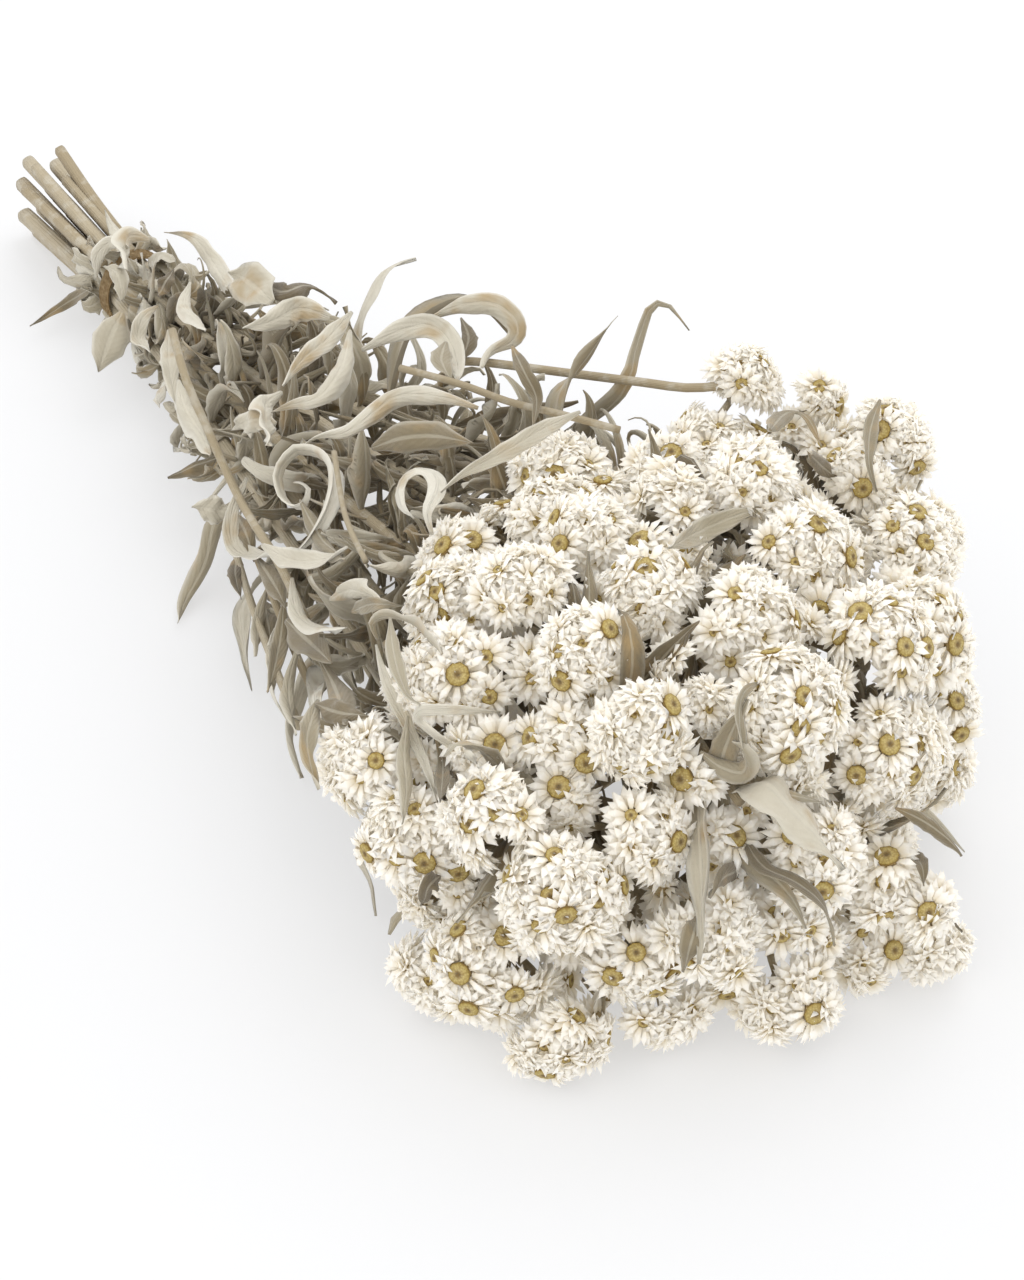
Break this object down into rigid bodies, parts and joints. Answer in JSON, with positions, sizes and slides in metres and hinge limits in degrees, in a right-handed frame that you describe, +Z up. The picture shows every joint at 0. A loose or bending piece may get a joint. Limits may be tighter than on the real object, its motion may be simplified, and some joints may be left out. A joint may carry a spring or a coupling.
{
  "type": "dried pearl everlasting bunch",
  "caption": "Lying tied bunch of dried pearl everlasting: woolly stems with curled grey leaves that fan out to rounded clusters of papery white flower heads.",
  "frame": {"origin": "on the floor under the middle of the bunch", "axes": "+Z up from the floor, -Y towards the flowers, +Y towards the cut stem ends"},
  "size_m": [0.1766, 0.4328, 0.1021],
  "materials": {
    "leaf": "matte, woolly",
    "flower": "papery",
    "band": "matte"
  },
  "bodies": {
    "root": {"stem_01": "leaf", "corymb_01": "flower", "stem_02": "leaf", "corymb_02": "flower", "stem_03": "leaf", "corymb_03": "flower", "stem_04": "leaf", "corymb_04": "flower", "stem_05": "leaf", "corymb_05": "flower", "stem_06": "leaf", "corymb_06": "flower", "stem_07": "leaf", "corymb_07": "flower", "stem_08": "leaf", "corymb_08": "flower", "stem_09": "leaf", "corymb_09": "flower", "stem_10": "leaf", "corymb_10": "flower", "stem_11": "leaf", "corymb_11": "flower", "stem_12": "leaf", "corymb_12": "flower", "stem_13": "leaf", "corymb_13": "flower", "stem_14": "leaf", "corymb_14": "flower", "leafy_shoot": "leaf", "tie_band": "band"}
  },
  "joints": []
}
